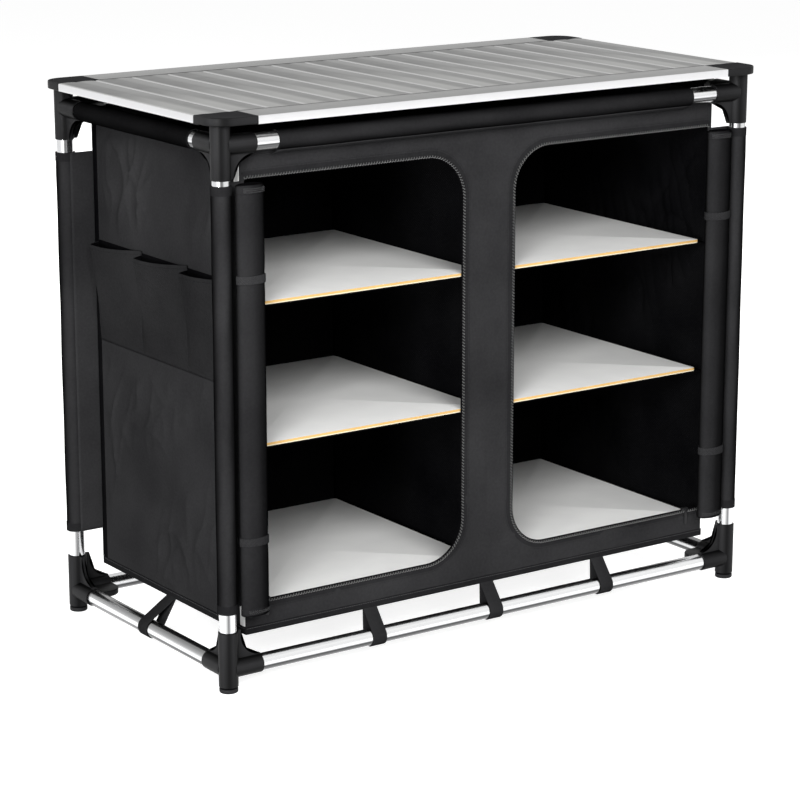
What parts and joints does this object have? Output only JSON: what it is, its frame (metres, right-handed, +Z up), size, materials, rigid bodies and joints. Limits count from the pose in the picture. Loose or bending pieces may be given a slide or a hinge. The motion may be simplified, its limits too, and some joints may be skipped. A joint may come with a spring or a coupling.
{
  "type": "folding camping kitchen",
  "caption": "Take-apart aluminium tube frame with a slatted worktop, corner connectors and a black cloth cupboard with shelf boards, side pockets and rolled-back zip doors.",
  "frame": {"origin": "on the ground, under the middle of the worktop", "axes": "+X to the right seen from the doorways, +Y to the back, +Z up"},
  "size_m": [0.98, 0.5, 0.824],
  "materials": {
    "tube": "polished bare tube",
    "slat": "satin grey extrusion",
    "border": "satin extrusion with a bright edge",
    "black_plastic": "fine moulded texture",
    "plate": "smooth moulded",
    "cloth": "black woven polyester",
    "board": "white faced board with a bare brown edge",
    "zip": "black lacquered"
  },
  "bodies": {
    "frame_and_cupboard": {"leg_front_left": "tube", "leg_front_right": "tube", "leg_back_left": "tube", "leg_back_right": "tube", "top_rail_front": "tube", "top_rail_back": "tube", "top_rail_left": "tube", "top_rail_right": "tube", "bottom_rail_front": "tube", "bottom_rail_back": "tube", "bottom_rail_left": "tube", "bottom_rail_right": "tube", "top_connector_front_left": "black_plastic", "bottom_connector_front_left": "black_plastic", "top_connector_front_right": "black_plastic", "bottom_connector_front_right": "black_plastic", "top_connector_back_left": "black_plastic", "bottom_connector_back_left": "black_plastic", "top_connector_back_right": "black_plastic", "bottom_connector_back_right": "black_plastic", "fabric_shell": "cloth", "front_panel": "cloth", "divider_and_slings": "cloth", "pocket_panel": "cloth", "door_roll_left": "cloth", "door_roll_right": "cloth"},
    "worktop": {"slat_01": "slat", "slat_02": "slat", "slat_03": "slat", "slat_04": "slat", "slat_05": "slat", "slat_06": "slat", "slat_07": "slat", "slat_08": "slat", "slat_09": "slat", "slat_10": "slat", "slat_11": "slat", "slat_12": "slat", "slat_13": "slat", "slat_14": "slat", "slat_15": "slat", "slat_16": "slat", "border_rail_front": "border", "border_rail_back": "border", "corner_plate_front_left": "plate", "corner_plate_front_right": "plate", "corner_plate_back_left": "plate", "corner_plate_back_right": "plate"},
    "foot_front_left": {"foot_front_left": "black_plastic"},
    "foot_front_right": {"foot_front_right": "black_plastic"},
    "foot_back_left": {"foot_back_left": "black_plastic"},
    "foot_back_right": {"foot_back_right": "black_plastic"},
    "board_left_top": {"board_left_top": "board"},
    "board_left_middle": {"board_left_middle": "board"},
    "board_left_floor": {"board_left_floor": "board"},
    "board_right_top": {"board_right_top": "board"},
    "board_right_middle": {"board_right_middle": "board"},
    "board_right_floor": {"board_right_floor": "board"},
    "zip_slider_left": {"zip_slider_left": "zip"},
    "zip_slider_right": {"zip_slider_right": "zip"}
  },
  "joints": [
    {"name": "worktop_lift", "type": "slide", "parent": "frame_and_cupboard", "child": "worktop", "axis": [0, 0, 1], "range_m": [0, 0.06]},
    {"name": "foot_front_left_extend", "type": "slide", "parent": "frame_and_cupboard", "child": "foot_front_left", "axis": [0, 0, -1], "range_m": [0, 0.01]},
    {"name": "foot_front_right_extend", "type": "slide", "parent": "frame_and_cupboard", "child": "foot_front_right", "axis": [0, 0, -1], "range_m": [0, 0.01]},
    {"name": "foot_back_left_extend", "type": "slide", "parent": "frame_and_cupboard", "child": "foot_back_left", "axis": [0, 0, -1], "range_m": [0, 0.01]},
    {"name": "foot_back_right_extend", "type": "slide", "parent": "frame_and_cupboard", "child": "foot_back_right", "axis": [0, 0, -1], "range_m": [0, 0.01]},
    {"name": "board_left_top_lift", "type": "slide", "parent": "frame_and_cupboard", "child": "board_left_top", "axis": [0, 0, 1], "range_m": [0, 0.04]},
    {"name": "board_left_middle_lift", "type": "slide", "parent": "frame_and_cupboard", "child": "board_left_middle", "axis": [0, 0, 1], "range_m": [0, 0.04]},
    {"name": "board_left_floor_lift", "type": "slide", "parent": "frame_and_cupboard", "child": "board_left_floor", "axis": [0, 0, 1], "range_m": [0, 0.04]},
    {"name": "board_right_top_lift", "type": "slide", "parent": "frame_and_cupboard", "child": "board_right_top", "axis": [0, 0, 1], "range_m": [0, 0.04]},
    {"name": "board_right_middle_lift", "type": "slide", "parent": "frame_and_cupboard", "child": "board_right_middle", "axis": [0, 0, 1], "range_m": [0, 0.04]},
    {"name": "board_right_floor_lift", "type": "slide", "parent": "frame_and_cupboard", "child": "board_right_floor", "axis": [0, 0, 1], "range_m": [0, 0.04]},
    {"name": "zip_left_run", "type": "slide", "parent": "frame_and_cupboard", "child": "zip_slider_left", "axis": [1, 0, 0], "range_m": [0, 0.27]},
    {"name": "zip_right_run", "type": "slide", "parent": "frame_and_cupboard", "child": "zip_slider_right", "axis": [-1, 0, 0], "range_m": [0, 0.27]}
  ]
}
